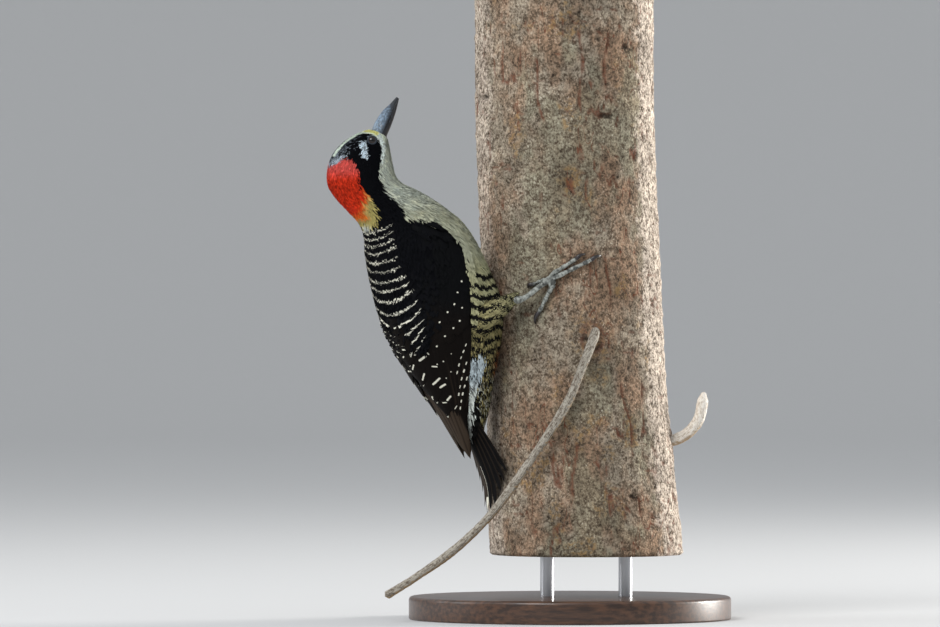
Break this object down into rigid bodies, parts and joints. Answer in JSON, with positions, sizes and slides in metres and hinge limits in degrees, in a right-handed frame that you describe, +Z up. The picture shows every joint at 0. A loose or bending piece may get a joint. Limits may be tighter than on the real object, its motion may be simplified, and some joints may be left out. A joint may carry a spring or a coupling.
{
  "type": "woodpecker",
  "caption": "Life-size still model of a female black-cheeked woodpecker clinging to a cut length of trunk, held above a round display base by short rods.",
  "frame": {"origin": "centre of the display base's underside", "axes": "+Z up along the trunk, -Y towards the viewer, who sees the bird's right side; the bird clings to the trunk's -X side with its bill up"},
  "size_m": [0.1748, 0.14, 0.274],
  "materials": {
    "base_wood": "dark satin",
    "rod_steel": "brushed",
    "bark": "rough bark with lichen",
    "dead_wood": "weathered, bare",
    "bill_horn": "satin horn",
    "eye": "wet gloss",
    "claw_horn": "satin horn",
    "foot_skin": "scaly matt",
    "thigh_plumage": "feathered, barred",
    "wing_plumage": "feathered, spotted",
    "tail_plumage": "feathered",
    "head_plumage": "feathered, with a red nape patch",
    "neck_plumage": "feathered, red behind and pale in front",
    "breast_plumage": "feathered, pale in front and barred behind",
    "belly_plumage": "feathered, barred",
    "rump_plumage": "feathered, barred"
  },
  "bodies": {
    "root": {"belly": "belly_plumage", "bill_lower": "bill_horn", "bill_upper": "bill_horn", "breast": "breast_plumage", "claw_hind_left": "claw_horn", "claw_hind_right": "claw_horn", "claw_inner_left": "claw_horn", "claw_inner_right": "claw_horn", "claw_middle_left": "claw_horn", "claw_middle_right": "claw_horn", "claw_outer_left": "claw_horn", "claw_outer_right": "claw_horn", "eye_left": "eye", "eye_right": "eye", "head": "head_plumage", "neck": "neck_plumage", "perch_stub": "dead_wood", "perch_trunk": "bark", "perch_twig": "dead_wood", "rump": "rump_plumage", "shank_left": "foot_skin", "shank_right": "foot_skin", "stand_base": "base_wood", "stand_rod_left": "rod_steel", "stand_rod_right": "rod_steel", "tail_centre": "tail_plumage", "tail_left": "tail_plumage", "tail_right": "tail_plumage", "thigh_left": "thigh_plumage", "thigh_right": "thigh_plumage", "toe_hind_left": "foot_skin", "toe_hind_right": "foot_skin", "toe_inner_left": "foot_skin", "toe_inner_right": "foot_skin", "toe_middle_left": "foot_skin", "toe_middle_right": "foot_skin", "toe_outer_left": "foot_skin", "toe_outer_right": "foot_skin", "wing_left_coverts": "wing_plumage", "wing_left_primaries": "wing_plumage", "wing_left_secondaries": "wing_plumage", "wing_right_coverts": "wing_plumage", "wing_right_primaries": "wing_plumage", "wing_right_secondaries": "wing_plumage"}
  },
  "joints": []
}
